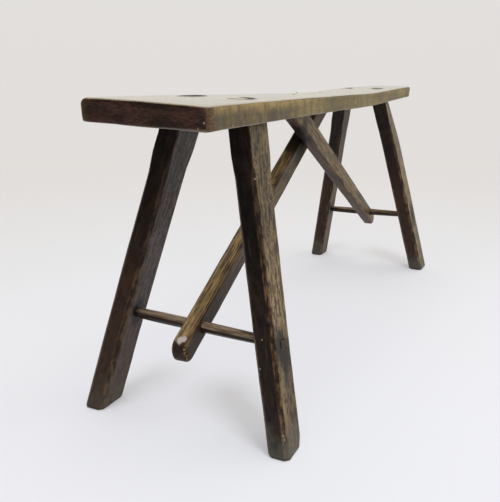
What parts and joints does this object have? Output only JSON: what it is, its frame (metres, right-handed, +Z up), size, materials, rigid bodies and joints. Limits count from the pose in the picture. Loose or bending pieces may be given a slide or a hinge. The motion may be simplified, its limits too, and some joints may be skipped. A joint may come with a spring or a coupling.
{
  "type": "wooden bench",
  "caption": "Long narrow plank bench on splayed tapered legs with through tenons, whittled stretchers and diagonal braces crossing under the seat.",
  "frame": {"origin": "centre of the bounding box, on the floor", "axes": "+X along the seat from the near end of the picture to its far end, +Y from the front long side to the back one, +Z up"},
  "size_m": [1.0388, 0.3347, 0.4571],
  "materials": {
    "seat_wood": "old waxed hardwood, satin",
    "leg_wood": "old dark-stained hardwood, satin",
    "stretcher_wood": "old whittled hardwood, polished by handling",
    "brace_wood": "old dark-stained hardwood with worn arrises",
    "wedge_wood": "end-grain hardwood, satin",
    "nail_iron": "blackened wrought iron"
  },
  "bodies": {
    "root": {"brace_far": "brace_wood", "brace_near": "brace_wood", "leg_far_back": "leg_wood", "leg_far_front": "leg_wood", "leg_near_back": "leg_wood", "leg_near_front": "leg_wood", "nail_back": "nail_iron", "nail_far": "nail_iron", "nail_near": "nail_iron", "seat": "seat_wood", "stretcher_far": "stretcher_wood", "stretcher_near": "stretcher_wood", "wedge_far_back": "wedge_wood", "wedge_far_front": "wedge_wood", "wedge_near_back": "wedge_wood", "wedge_near_front": "wedge_wood"}
  },
  "joints": []
}
